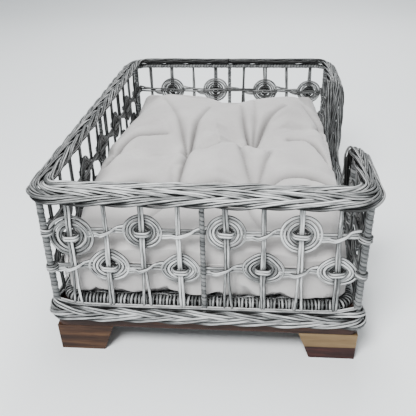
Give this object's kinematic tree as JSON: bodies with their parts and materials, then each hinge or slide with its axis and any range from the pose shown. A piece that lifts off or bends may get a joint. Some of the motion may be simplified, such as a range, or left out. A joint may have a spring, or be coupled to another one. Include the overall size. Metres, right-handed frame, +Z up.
{
  "type": "wicker pet bed basket",
  "caption": "Rectangular open-work rattan pet bed with knotted walls, a braided rim that dips to a side doorway, a timber base on block feet and a thick loose cushion.",
  "frame": {"origin": "centre of the footprint, on the floor under the feet", "axes": "+Z up, +Y the long way from the front wall to the back wall, +X towards the wall with the doorway"},
  "size_m": [0.5604, 0.862, 0.3226],
  "materials": {
    "rattan": "sun-greyed, white-washed round rattan, matt",
    "wrapped_rattan": "round core wound closely round a pole, grey, matt",
    "rail_timber": "dark walnut, oiled",
    "foot_timber": "walnut heartwood, oiled",
    "foot_timber_light": "walnut with a pale sapwood band, oiled",
    "screw_steel": "zinc-plated",
    "cotton_cover": "off-white plain woven cotton",
    "fibre_filling": "white polyester fibre",
    "zip_tape": "off-white woven tape",
    "zip_metal": "satin",
    "label_tape": "plain white woven tape, blank"
  },
  "bodies": {
    "basket": {"back_rail": "rail_timber", "corner_post_back_left": "wrapped_rattan", "corner_post_back_right": "wrapped_rattan", "corner_post_front_left": "wrapped_rattan", "corner_post_front_right": "wrapped_rattan", "cross_rail": "rail_timber", "door_post_back": "wrapped_rattan", "door_post_front": "wrapped_rattan", "floor_panel": "rattan", "floor_pole_back": "wrapped_rattan", "floor_pole_front": "wrapped_rattan", "floor_pole_left": "wrapped_rattan", "floor_pole_right": "wrapped_rattan", "foot_back_left": "foot_timber", "foot_back_right": "foot_timber", "foot_border": "rattan", "foot_front_left": "foot_timber", "foot_front_right": "foot_timber_light", "foot_screw_end_back_left": "screw_steel", "foot_screw_end_back_right": "screw_steel", "foot_screw_end_front_left": "screw_steel", "foot_screw_end_front_right": "screw_steel", "foot_screw_side_back_left": "screw_steel", "foot_screw_side_back_right": "screw_steel", "foot_screw_side_front_left": "screw_steel", "foot_screw_side_front_right": "screw_steel", "front_rail": "rail_timber", "left_rail": "rail_timber", "lower_knots_back": "rattan", "lower_knots_front": "rattan", "lower_knots_left": "rattan", "lower_knots_right_back": "rattan", "lower_knots_right_front": "rattan", "mid_post_back": "wrapped_rattan", "mid_post_front": "wrapped_rattan", "mid_post_left": "wrapped_rattan", "right_rail": "rail_timber", "stakes_back": "rattan", "stakes_front": "rattan", "stakes_left": "rattan", "stakes_right_back": "rattan", "stakes_right_front": "rattan", "stakes_sill": "rattan", "top_border": "rattan", "upper_knots_back": "rattan", "upper_knots_front": "rattan", "upper_knots_left": "rattan", "upper_knots_right_back": "rattan", "upper_knots_right_front": "rattan"},
    "cushion": {"cushion_cover": "cotton_cover", "cushion_filling": "fibre_filling", "side_label": "label_tape", "zip": "zip_tape"},
    "zip_slider": {"zip_slider": "zip_metal"}
  },
  "joints": [
    {"name": "cushion_lift", "type": "slide", "parent": "basket", "child": "cushion", "axis": [0, 0, 1], "range_m": [0, 0.3]},
    {"name": "zip_slide", "type": "slide", "parent": "cushion", "child": "zip_slider", "axis": [1, 0, 0], "range_m": [0, 0.29]}
  ]
}
